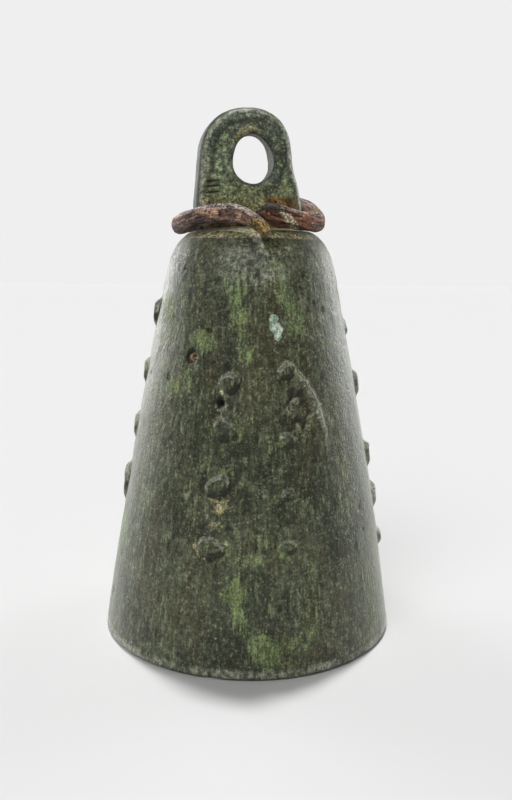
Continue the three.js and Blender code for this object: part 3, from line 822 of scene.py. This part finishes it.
def make_shell(material):
    """The cast shell, with its masks: patina, dirt, dust and wear follow its relief, and so do painted
    highlights and painted shade.
    """
    profile, lip_row = shell_profile()
    rows, columns = len(profile), SHELL_COLUMNS
    angle = np.tile(np.linspace(0, 360, columns, endpoint=False), rows)
    radius = np.repeat(profile[:, 0], columns)
    z = np.repeat(profile[:, 1], columns)
    points = around_z(np.radians(angle), radius, z)
    normals = grid_normals(points, rows, columns)
    outside = ramp(lip_row - 1, lip_row + 5, np.repeat(np.arange(rows), columns))
    inner = 1 - outside
    relief, masks = shell_relief(angle, z, np.maximum(radius, 1.0), points, outside)
    rough_inside = 0.22 * fractal(points, 5, 3, 41) + 0.1 * fractal(points, 1.6, 2, 43)
    relief += inner * ramp(1.5, 5, z) * rough_inside
    grid = relief.reshape(rows, columns)
    cavity = (averaged(averaged(grid, 5, 1), 5, 0) - grid).reshape(-1)

    # Painted light and shade: relief that faces up and left is painted lighter as a painted highlight, and
    # relief that faces away is painted darker as painted shade
    column_width = np.maximum(profile[:, :1] * 2 * math.pi / columns, 0.1)
    lit = -0.8 * np.gradient(grid, axis=0) / OUTSIDE_STEP
    lit += 0.45 * np.gradient(grid, axis=1) / column_width
    lit = (lit.reshape(-1) * outside * ramp(82, 80, z) * (1 - 0.8 * masks["ridge"])).clip(-1, 1)
    lit *= np.clip(1 + 1.3 * fractal(points, 1.1, 2, 57), 0, 2)
    points = points + normals * relief[:, None]
    points[:, 2] += 0.22 * ramp(6, 0, z) * (0.5 + 0.5 * fractal(points * (1, 1, 0), 9, 2, 51))
    near_lip = ramp(3.4, 1.2, z) * outside * (0.75 + 0.5 * fractal(points, 5, 2, 55))
    hollow = np.clip(cavity * 3, 0, 1) * outside
    proud = np.clip(-cavity * 3.0 - 0.3, 0, 0.6) * outside
    mottle = fractal(points, 2.2, 2, 63)
    front = 0.5 + 0.5 * np.cos(np.radians(angle + 14))
    # Painted highlight: a pale band round the shoulder, strongest on its front, stands in for the reflection of
    # a light above; the rest of the band is rubbed wear
    polish_and_highlight = ramp(66, 76, z) * ramp(83, 79.5, z) * (0.3 + 0.7 * front ** 9) * outside
    polish_and_highlight *= 0.85 + 0.3 * fractal(points, 5, 3, 91)
    cream = ramp(81.7, 82.7, z) * outside * (1.2 + 0.3 * mottle)

    def on_outside(table, seed):
        return patches(table, angle, z, radius, points, seed) * outside

    shell_masks = {
        # Verdigris also goes on the bosses' lit upper rims and shaded lower middles, placed by the same masks
        # as the painted light
        "verdigris": np.maximum.reduce([
            on_outside(VERDIGRIS, 61), 1.2 * masks["crust"] * ramp(-0.4, 0.2, mottle),
            0.6 * masks["lit_edge"], 0.45 * masks["core"],
        ]),
        "earth": np.maximum.reduce([
            on_outside(EARTH, 71), cream, 1.1 * masks["ridge_edge"],
            1.15 * masks["crust"] * ramp(0.25, -0.25, mottle), 0.7 * masks["scar_edge"],
            0.62 * masks["scar"] * (1 + 0.5 * mottle),
            0.4 * inner * ramp(-0.1, 0.5, fractal(points, 9, 3, 73)),
        ]),
        "rust": 0.525 * masks["pins"] + 0.4 * inner * ramp(50, 78, z),
        "mint": on_outside(MINT, 81),
        # Painted shade with real grime: darkens hollows of the relief, relief that faces away from the light,
        # the pin hole and pits, the bosses' lower middles, the scar, the hollows round the core pins and the
        # whole inside of the bell
        "grime_and_shade": np.clip(
            0.4 * hollow + np.clip(-1.5 * lit - 0.1, 0, 0.8) + 1.2 * masks["hole"] + 0.3 * masks["core"]
            + 0.2 * masks["scar"] + 0.7 * masks["pins"] + 0.4 * inner, 0, 1.2),
        # Painted highlight with real wear: lightens relief that faces the light, the bosses' lit upper rims and
        # the front of the shoulder, besides rubbed raised spots, the lip, the pin hole's lip and the ridge
        "wear_and_highlight": np.clip(1.6 * lit - 0.15, 0, 1) + proud * (1 - masks["dome"]) * (1 - masks["scar"])
        + 0.95 * masks["lit_edge"] + 0.9 * near_lip + 0.68 * polish_and_highlight + 0.7 * masks["hole_lip"]
        + 0.12 * masks["ridge"],
    }
    faces = grid_faces(rows, columns)
    points, faces = with_poles(points, faces, rows, columns, (0, 0, points[0][2]), (0, 0, points[-1][2]))
    shell_masks = {key: np.append(value, value[[0, -1]]) for key, value in shell_masks.items()}
    make_piece("bell_casting", points, faces, material, "bell", ["bell_shell"], shell_masks)


def iron_masks(straight, wear_and_highlight=0.0, earth=0.0, red=0.0, ochre=0.0, dark=0.0):
    """The masks an iron piece's material reads; straight holds each point's place along the bar."""
    zero = np.zeros(len(straight))
    bar = {"bar_x": straight[:, 0], "bar_y": straight[:, 1], "bar_z": straight[:, 2]}
    tones = {"wear_and_highlight": wear_and_highlight, "earth": earth, "red": red, "ochre": ochre, "dark": dark}
    return {**{key: zero + value for key, value in tones.items()}, **bar}


def make_core_pin(node, angle, material):
    """A rusted pin end, lumpy outside and inside the wall."""
    lean = math.atan(TAPER + 2 * TAPER_CURVE * CORE_PIN_Z)
    radius = outer_radius(CORE_PIN_Z)
    turn = math.radians(angle)
    outward = np.array([math.sin(turn) * math.cos(lean), -math.cos(turn) * math.cos(lean), math.sin(lean)])
    surface = np.array([math.sin(turn) * radius, -math.cos(turn) * radius, CORE_PIN_Z])
    centres = np.linspace(surface - outward * (WALL - 0.4), surface - outward * 0.95, 10)
    points, faces, out, _, straight = sweep(centres, np.full(10, 1.0), 20)
    points = points + out * (0.16 * fractal(points, 0.9, 2, 91))[:, None]
    masks = iron_masks(straight, earth=0.4, dark=0.3)
    make_piece(node + "_rusted", points, faces, material, "bell", [node], masks)


# ---- Hanging lug ----


def lug_reach(turn):
    """Distance from the eye's centre to the lug's outline in each direction."""
    step = np.linspace(0, math.pi, 140)
    arch = np.stack([
        ARCH_SHIFT + ARCH_HALF_WIDTH * squared_off(np.cos(step), ARCH_POWER) + ARCH_SKEW * np.sin(step) ** 2,
        ARCH_Z + (LUG_TOP - ARCH_Z) * squared_off(np.sin(step), ARCH_POWER),
    ], axis=1)
    right = bezier((LUG_FOOT_HALF, LUG_FOOT_Z), (LUG_FOOT_HALF, ARCH_Z - LUG_WAIST), arch[0], 40)[:-1]
    left = bezier(arch[-1], (-LUG_FOOT_HALF, ARCH_Z - LUG_WAIST), (-LUG_FOOT_HALF, LUG_FOOT_Z), 40)[1:]
    foot = resampled([left[-1], right[0]], 0.4)[1:]
    outline = resampled(np.vstack([right, arch, left, foot]), 0.25) + (LUG_OFFSET, 0) - EYE_CENTRE
    angles = np.arctan2(outline[:, 1], outline[:, 0])
    order = np.argsort(angles)
    return np.interp(turn, angles[order], np.hypot(*outline.T)[order], period=2 * math.pi)


def make_lug(material):
    """The lug's plate as a ring of sections round its eye."""
    around, wall_count, arc_count, face_count = 320, 6, 8, 30
    turn = np.linspace(-math.pi, math.pi, around, endpoint=False)
    rise = np.where(np.sin(turn) > 0, EYE_RISE, EYE_DROP)
    eye = 1 / np.hypot(np.cos(turn) / EYE_HALF_WIDTH, np.sin(turn) / rise)
    reach = averaged(lug_reach(turn), 12)
    arc = np.linspace(0, math.pi / 2, arc_count)
    flat = np.linspace(0, 1, face_count)[1:-1]
    wall = np.linspace(-1, 1, wall_count)[1:-1]
    inner_y = LUG_THICK / 2 - EYE_ROUND
    outer_y = LUG_THICK / 2 - EDGE_ROUND
    # Half a section, from the eye's wall over the front face to the outer edge. Each point is (share of
    # the flat, offset from the inner edge, offset from the outer edge, y)
    half = [(0, 0.0, 0.0, y) for y in wall[wall > 0] * inner_y]
    half += [(0, EYE_ROUND * (1 - math.cos(a)), 0.0, inner_y + EYE_ROUND * math.sin(a)) for a in arc]
    half += [(share, EYE_ROUND, -EDGE_ROUND, LUG_THICK / 2) for share in flat]
    half += [(1, 0.0, EDGE_ROUND * (math.sin(a) - 1), outer_y + EDGE_ROUND * math.cos(a)) for a in arc]
    half += [(1, 0.0, 0.0, y) for y in wall[wall > 0][::-1] * outer_y]
    section = half + [(*point[:3], -point[3]) for point in reversed(half)]
    columns = len(section)
    share, inward, outward, y = (np.array(part)[None, :] for part in zip(*section))
    near, far = eye[:, None] + inward, reach[:, None] + outward
    distance = near * (1 - share) + far * share
    x = EYE_CENTRE[0] + distance * np.cos(turn)[:, None]
    z = EYE_CENTRE[1] + distance * np.sin(turn)[:, None]
    from_eye = distance - eye[:, None]
    from_edge = reach[:, None] - distance
    up_eye = ramp(0.35, 0.9, np.sin(turn))[:, None]
    # The faces are a little dished beside the eye, and the strap has worn a slope above it
    waist = 1 - 0.05 * hump(from_eye, 3.0, 2.0) * ramp(106, 100, z)
    worn = 1 - 0.42 * up_eye * ramp(3.6, 0.2, from_eye)
    points = np.stack([x, y * waist * worn, z], axis=2).reshape(-1, 3)
    faces = grid_faces(around, columns, close_rows=True)[:, ::-1]
    normals = -grid_normals(points, around, columns, close_rows=True)
    from_eye, from_edge = from_eye.reshape(-1), from_edge.reshape(-1)
    up_eye = np.repeat(up_eye[:, 0], columns)
    low_eye = ramp(0.5, -0.3, np.repeat(np.sin(turn), columns))
    face = ramp(0.6, 0.95, np.abs(normals[:, 1]))
    relief = 0.16 * fractal(points, 7, 2, 101) + 0.07 * fractal(points, 1.8, 3, 103)
    relief += 0.16 * low_eye * hump(from_eye, 1.2, 0.35) * face
    relief -= 0.1 * low_eye * hump(from_eye, 1.9, 0.35) * face
    x, y, z = points.T
    cuts = sum(hump(z - 0.12 * (x + 9), level, 0.2) for level in CUT_LEVELS)
    cuts = cuts * ramp(-6.6, -8.0, x) * ramp(-10.6, -9.6, x) * (y < -1)
    points = points + normals * (relief - 0.25 * cuts)[:, None]
    mottle = fractal(points, 4, 3, 105)
    strip = hump(x, 6.6, 1.1) * ramp(91, 95, z) * ramp(103, 98, z)
    green = 0.45 + 0.5 * mottle + 0.45 * ramp(95, 90, z) + 0.5 * strip
    band = hump(from_edge, 2.6, 0.8) * ramp(90, 97, z) * ramp(8, -2, x)
    facing = np.abs(normals[:, 1])
    masks = {
        "verdigris": np.clip(green, 0, 1) * face * ramp(1.5, 3.4, from_edge),
        "earth": np.maximum(0.9 * up_eye * ramp(3.4, 1.0, from_eye) * ramp(2.5, -1.0, x),
                            0.8 * ramp(95, 89, z) * face),
        "rust": 0.95 * ramp(92, 89.5, z) * ramp(0.5, 4.0, x) * ramp(10, 7, x)
        + 0.2 * up_eye * ramp(3.0, 1.0, from_eye) + 0.3 * ramp(89, 87, z),
        # Painted shade with grime: darkens the foot where the ring casts its shadow, the file cuts, a band
        # inside the outer edge, the plate's sides and the eye's wall all round, most at its top, and a line
        # inside the bevel below the eye
        "grime_and_shade": np.clip(
            1.0 * ramp(87.6, 86.2, z) + 1.2 * cuts + 0.55 * band
            + 0.5 * up_eye * ramp(1.6, 0.4, from_eye) + 1.0 * ramp(0.75, 0.3, facing)
            + 0.4 * low_eye * hump(from_eye, 2.0, 0.4), 0, 1.1),
        # Rubbed outer edges, and a painted highlight on the crest of the bevel below the eye
        "wear_and_highlight": np.clip(0.85 * hump(from_edge, 0.9, 0.55) * ramp(0.1, 0.6, facing)
                        + 0.6 * low_eye * hump(from_eye, 1.1, 0.3), 0, 1),
    }
    make_piece("lug_casting", points, faces, material, "bell", ["suspension_lug"], masks)


def make_tang_head(material):
    """The lug's tang, headed over under the crown."""
    low = lug_low[2]
    top = ROOF[1][1] - 0.2
    count, sides = 14, 64
    rise = np.linspace(0, 1, count)
    turn = full_turn(sides)
    size = 0.86 + 0.14 * np.sin(rise * math.pi) ** 0.5
    x = LUG_OFFSET + TANG_HALF[0] * squared_off(np.sin(turn), TANG_POWER)[None, :] * size[:, None]
    y = -TANG_HALF[1] * squared_off(np.cos(turn), TANG_POWER)[None, :] * size[:, None]
    z = np.repeat((low + (top - low) * rise)[:, None], sides, axis=1)
    points = np.stack([x, y, z], axis=2).reshape(-1, 3)
    faces = grid_faces(count, sides)
    points, faces = with_poles(points, faces, count, sides, (LUG_OFFSET, 0, low - 0.15), (LUG_OFFSET, 0, top))
    points = points + 0.12 * fractal(points, 2, 2, 111)[:, None] * (1, 1, 0.5)
    stains = {"earth": 0.3, "rust": 0.35, "grime_and_shade": 0.3}
    masks = {key: np.full(len(points), value) for key, value in stains.items()}
    make_piece("tang_head", points, faces, material, "bell", masks=masks)


# ---- Iron pieces ----


def forged(points, out, seed, size, amount):
    """Hammered flats, scale and corrosion pits for a bar."""
    relief = amount * fractal(points, size, 3, seed) + 0.4 * amount * fractal(points, 0.8, 2, seed + 5)
    pits = ramp(0.35, 0.75, fractal(points, 1.5, 2, seed + 9))
    return points + out * (relief - 0.8 * amount * pits)[:, None]


def make_ring(material):
    """The open collar ring, from its thin drooping end round the back to its broken stub."""
    turns = [(math.radians(a), r, z) for a, r, z in RING_ROUTE]
    route = smooth_path([(r * math.sin(a), -r * math.cos(a), z) for a, r, z in turns], 300)
    share = np.linspace(0, 1, len(route))
    broken = ramp(0.945, 0.985, share)
    radius = RING_WIRE * np.minimum(1, 0.62 + 4.5 * share) * (1 + 0.14 * broken)
    points, faces, out, share, straight = sweep(route, radius, 64, flat=0.06)
    grooves = fractal(straight, 1.1, 3, 131, stretch=(7, 1, 1))
    ragged = ramp(0.955, 0.975, share) * fractal(points, 1.5, 3, 127)
    dents = fractal(points, 4.2, 2, 129)
    relief = 0.16 * grooves + 0.16 * dents + 0.07 * fractal(points, 0.8, 2, 133) + 0.55 * ragged
    relief -= 0.22 * ramp(0.3, 0.7, grooves)
    relief -= 0.22 * ramp(0.25, 0.6, fractal(points, 1.1, 2, 137))
    points = points + out * relief[:, None]
    upper = ramp(0.1, 0.8, out[:, 2])
    front_left = ramp(0.0, 0.03, share) * ramp(0.3, 0.2, share)
    low = ramp(-0.1, -0.75, out[:, 2])
    inward = -(out[:, 0] * points[:, 0] + out[:, 1] * points[:, 1]) / np.hypot(points[:, 0], points[:, 1])
    slanted = share - 0.03 * out[:, 2]
    # Painted light: wear below puts a painted highlight on upper faces, most on the front-left arm, and dark
    # puts painted shade on the undersides and the inner side facing the crown; the dark at the broken end is
    # its own
    masks = iron_masks(
        straight,
        wear_and_highlight=0.7 * upper * front_left + 0.45 * ramp(0.5, 0.9, upper),
        earth=1.1 * hump(slanted, 0.972, 0.011) + 0.25 * ramp(0.98, 0.99, slanted),
        red=0.9 * ramp(0.8, 0.86, share) * (1 - 0.5 * upper),
        ochre=0.95 * ramp(0.03, 0.01, share) + 0.45 * ramp(0.1, 0.03, share) * (1 - upper)
        + 0.5 * ramp(0.72, 0.78, share) * ramp(0.86, 0.8, share),
        dark=0.6 * low + 0.5 * ramp(0.4, 0.95, inward)
        + 0.75 * ramp(0.975, 0.99, share) * ramp(-0.4, 0.4, out[:, 2]),
    )
    make_piece("forged_ring", points, faces, material, "ring", ["collar_ring"], masks)


def iron_bar(name, route, radius, sides, material, body, node, seed, amount=0.12):
    points, faces, out, _, straight = sweep(route, radius, sides)
    points = forged(points, out, seed, 2.4, amount)
    masks = iron_masks(straight, wear_and_highlight=0.15, earth=0.1, red=0.1)
    make_piece(name, points, faces, material, body, [node], masks)


def make_staple(material):
    """A wire down through the crown, along under it as a bar and up again, its ends clenched over."""
    def half(clench):
        y = STAPLE_LEG_Y
        edge_z = CROWN_EDGE[1] + STAPLE_WIRE
        return [
            (y + clench, edge_z - 0.35), (y + clench * 0.6, edge_z + 0.55),
            (y + 0.5, CROWN_TOP_Z + STAPLE_WIRE + 0.2), (y, CROWN_TOP_Z), (y, ROOF[1][1] - 2.4),
            (y - 1.6, STAPLE_BAR_Z + 1.4), (y - 4.4, STAPLE_BAR_Z),
        ]

    front = [(0, -y, z) for y, z in half(STAPLE_FRONT_CLENCH)]
    back = [(0, y, z) for y, z in reversed(half(STAPLE_BACK_CLENCH))]
    route = smooth_path(front + back, 150)
    share = np.linspace(0, 1, 150)
    radius = STAPLE_WIRE * np.minimum(1, 0.6 + 10 * np.minimum(share, 1 - share))
    iron_bar("staple_wire", route, radius, 24, material, "bell", "clapper_staple", 131)


LINK_TOP_Z = STAPLE_BAR_Z + STAPLE_WIRE + LINK_WIRE + PIECE_GAP
LINK_BOTTOM_Z = LINK_TOP_Z - 2 * LINK_HALF_LENGTH
CLAPPER_EYE_Z = LINK_BOTTOM_Z + LINK_WIRE + PIECE_GAP + CLAPPER_EYE_WIRE - CLAPPER_EYE_RADIUS


def make_link(material):
    turn = np.linspace(0, 2 * math.pi, 90)
    middle = LINK_TOP_Z - LINK_HALF_LENGTH
    loop = [(LINK_HALF_WIDTH * math.cos(t), 0.0, middle + LINK_HALF_LENGTH * math.sin(t)) for t in turn]
    route = smooth_path(loop, 110)[3:-3]
    radius = np.full(len(route), LINK_WIRE)
    iron_bar("link_wire", route, radius, 22, material, "link", "clapper_link", 141, 0.08)


def make_clapper(material):
    """The stem with the eye bent at its top, and the turned bob on it."""
    low, high = box_mm("clapper_bob")
    middle = (low[2] + high[2]) / 2
    hub = CLAPPER_EYE_Z - CLAPPER_EYE_RADIUS
    bend = np.linspace(-75, 235, 22)
    rod = [(0, 0, z) for z in np.linspace(low[2] - 1.2, hub - 2.6, 8)]
    eye = [(0, CLAPPER_EYE_RADIUS * math.cos(math.radians(a)),
            CLAPPER_EYE_Z + CLAPPER_EYE_RADIUS * math.sin(math.radians(a))) for a in bend]
    route = smooth_path(rod + eye, 230)
    share = np.linspace(0, 1, 230)
    radius = CLAPPER_EYE_WIRE + (STEM_RADIUS - CLAPPER_EYE_WIRE) * ramp(0.75, 0.5, share)
    iron_bar("stem_forged", route, radius, 24, material, "clapper", "clapper_stem", 151, 0.13)
    bob_radius = high[0]
    belly = [(3.2, low[2]), (6.2, low[2] + 2.6), (bob_radius - 0.2, middle - 1.6), (6.0, middle + 4.0),
             (3.2, high[2] - 0.2)]
    curve = smooth_path([(r, 0, z) for r, z in belly], 60)
    profile = [(0, low[2] - 0.1), (1.2, low[2] - 0.1)] + [(p[0], p[2]) for p in curve]
    profile += [(2.0, high[2] - 0.05), (0, high[2] - 0.05)]
    points, faces, normals = lathe(profile, 96)
    points = forged(points, normals, 161, 5.0, 0.22)
    belt = hump(points[:, 2], middle - 1, 2.6)
    masks = iron_masks(points[:, [2, 0, 1]], wear_and_highlight=0.7 * belt, earth=0.1, red=0.1)
    make_piece("bob_forged", points, faces, material, "clapper", ["clapper_bob"], masks)


# ---- Camera, floor and light ----

CAMERA_TURN = -11.5  # degrees from -Y: the camera stands to the left of the lug's face
CAMERA_DISTANCE = 5.5 * MOUTH_RADIUS
CAMERA_HEIGHT = 2.458 * MOUTH_RADIUS
CAMERA_PITCH = 0.1612
CAMERA_YAW = 0.0077
CAMERA_ROLL = 0.011
CAMERA_LENS = 36.1
BACKGROUND = 0.865
FLOOR_WHITE = 0.79
FLOOR_HALF = 4.0  # metres
SUN_STRENGTH = 2.03
SUN_LEAN = 14.5  # degrees from straight down, towards the camera
SUN_SIZE = 4.2  # degrees across
AMBIENT = 0.07  # the strength of the surround away from its bright panels
# The panels: direction, cosine of the angle to their edge and to their full strength, strength
PANELS = [
    ((-0.72, 0.69, 0.05), 0.87, 0.98, 8.0),
    ((0.77, 0.63, 0.05), 0.88, 0.98, 6.5),
    ((-0.3, -0.6, 0.74), 0.93, 0.98, 4.5),
]


def camera_side(vector):
    """vector turned about Z from -Y to where the camera stands."""
    return Matrix.Rotation(math.radians(CAMERA_TURN), 3, "Z") @ Vector(vector)


def make_camera():
    camera = placed("camera", bpy.data.cameras.new("camera"))
    camera.data.lens = CAMERA_LENS
    camera.data.sensor_width = 36.0
    camera.data.clip_start = 0.005
    forward = Vector((math.cos(CAMERA_PITCH) * math.sin(CAMERA_YAW),
                      math.cos(CAMERA_PITCH) * math.cos(CAMERA_YAW), -math.sin(CAMERA_PITCH)))
    level = Vector((math.cos(CAMERA_YAW), -math.sin(CAMERA_YAW), 0))
    above = level.cross(forward)
    right = level * math.cos(CAMERA_ROLL) + above * math.sin(CAMERA_ROLL)
    up = above * math.cos(CAMERA_ROLL) - level * math.sin(CAMERA_ROLL)
    axes = [camera_side(axis) for axis in (right, up, -forward)]
    place = camera_side((0, -CAMERA_DISTANCE * MM, CAMERA_HEIGHT * MM))
    camera.matrix_world = Matrix.Translation(place) @ Matrix(axes).transposed().to_4x4()
    bpy.context.scene.camera = camera


def make_floor():
    mesh = bpy.data.meshes.new("floor")
    corners = [(-1, -1), (1, -1), (1, 1), (-1, 1)]
    mesh.from_pydata([(x * FLOOR_HALF, y * FLOOR_HALF, 0) for x, y in corners], [], [(0, 1, 2, 3)])
    mesh.materials.append(floor_material())
    placed("floor", mesh)


def make_world():
    """A dim studio with bright panels behind both sides of the bell and one above its front. The
    camera sees a plain pale background instead.
    """
    world = bpy.data.worlds.new("studio")
    world.use_nodes = True
    nodes = Nodes(world.node_tree)
    place = nodes.add("TexCoord").outputs["Generated"]
    turn = nodes.add("VectorRotate", rotation_type="Z_AXIS", Vector=place,
                     Angle=math.radians(-CAMERA_TURN)).outputs[0]
    glow = AMBIENT
    for direction, edge, full, strength in PANELS:
        toward = nodes.add("VectorMath", operation="DOT_PRODUCT")
        nodes.give(toward.inputs[0], turn)
        nodes.give(toward.inputs[1], Vector(direction).normalized())
        glow = nodes.math("ADD", glow, nodes.step(toward.outputs["Value"], edge, full, 0, strength))
    studio = nodes.add("Background", Strength=glow).outputs[0]
    plain = nodes.add("Background", Color=(BACKGROUND, BACKGROUND, BACKGROUND, 1)).outputs[0]
    seen = nodes.add("LightPath").outputs["Is Camera Ray"]
    surround = nodes.of_two("MixShader", seen, studio)
    nodes.give(surround.node.inputs[2], plain)
    nodes.add("OutputWorld", Surface=surround)
    bpy.context.scene.world = world


def make_sun():
    """A sun overhead, a little behind the bell."""
    sun = bpy.data.lights.new("overhead", "SUN")
    sun.energy = SUN_STRENGTH
    sun.angle = math.radians(SUN_SIZE)
    lean = math.radians(SUN_LEAN)
    aim = camera_side((0.0, -math.sin(lean), -math.cos(lean)))
    placed("overhead", sun).rotation_euler = aim.to_track_quat("-Z", "Y").to_euler()


def main():
    bronze = bronze_material("patinated_bronze", (0.036, 0.041, 0.02), (0.118, 0.134, 0.077),
                             (0.15, 0.205, 0.083))
    lug_bronze = bronze_material("lug_bronze", (0.06, 0.074, 0.052), (0.205, 0.24, 0.165),
                                 (0.26, 0.33, 0.165), (2, 1, 1.4), 0.2)
    ring_iron = iron_material("rusted_ring", (0.075, 0.045, 0.038), (0.25, 0.14, 0.1), (0.5, 0.3, 0.18))
    inner_iron = iron_material("rusted_iron", (0.035, 0.022, 0.016), (0.085, 0.04, 0.024),
                               (0.17, 0.085, 0.045))
    make_camera()
    make_floor()
    make_world()
    make_sun()
    make_shell(bronze)
    for node, angle in CORE_PINS.items():
        make_core_pin(node, angle, inner_iron)
    make_lug(lug_bronze)
    make_tang_head(lug_bronze)
    make_ring(ring_iron)
    make_staple(inner_iron)
    make_link(inner_iron)
    make_clapper(inner_iron)
    bpy.context.scene.view_settings.view_transform = "Standard"


main()
